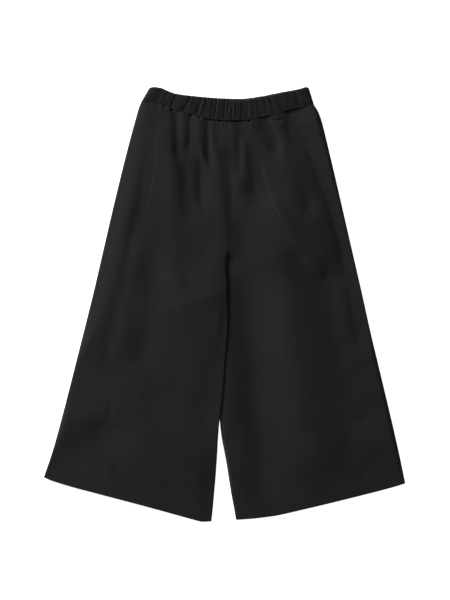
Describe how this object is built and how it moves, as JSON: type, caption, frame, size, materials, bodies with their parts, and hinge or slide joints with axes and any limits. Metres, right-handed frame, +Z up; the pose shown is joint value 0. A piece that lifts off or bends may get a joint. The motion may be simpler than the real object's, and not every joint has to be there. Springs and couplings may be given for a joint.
{
  "type": "palazzo trousers",
  "caption": "Wide, flared, cropped trousers in black cloth with a gathered elastic waistband, laid flat front up; worn on the legs and hips.",
  "frame": {"origin": "on the surface it lies on, under the middle of the garment's outline", "axes": "+X to the wearer's left, which is the viewer's right; +Y from the hems to the waist; +Z up off the surface, out of the garment's front"},
  "size_m": [0.724, 0.8704, 0.0117],
  "materials": {
    "leg_cloth": "matt black twill weave with a faint sheen",
    "waistband_cloth": "matt black twill weave, gathered over elastic"
  },
  "bodies": {
    "root": {"front_right_leg": "leg_cloth", "back_right_leg": "leg_cloth", "front_left_leg": "leg_cloth", "back_left_leg": "leg_cloth", "waistband_front": "waistband_cloth", "waistband_back": "waistband_cloth"}
  },
  "joints": []
}
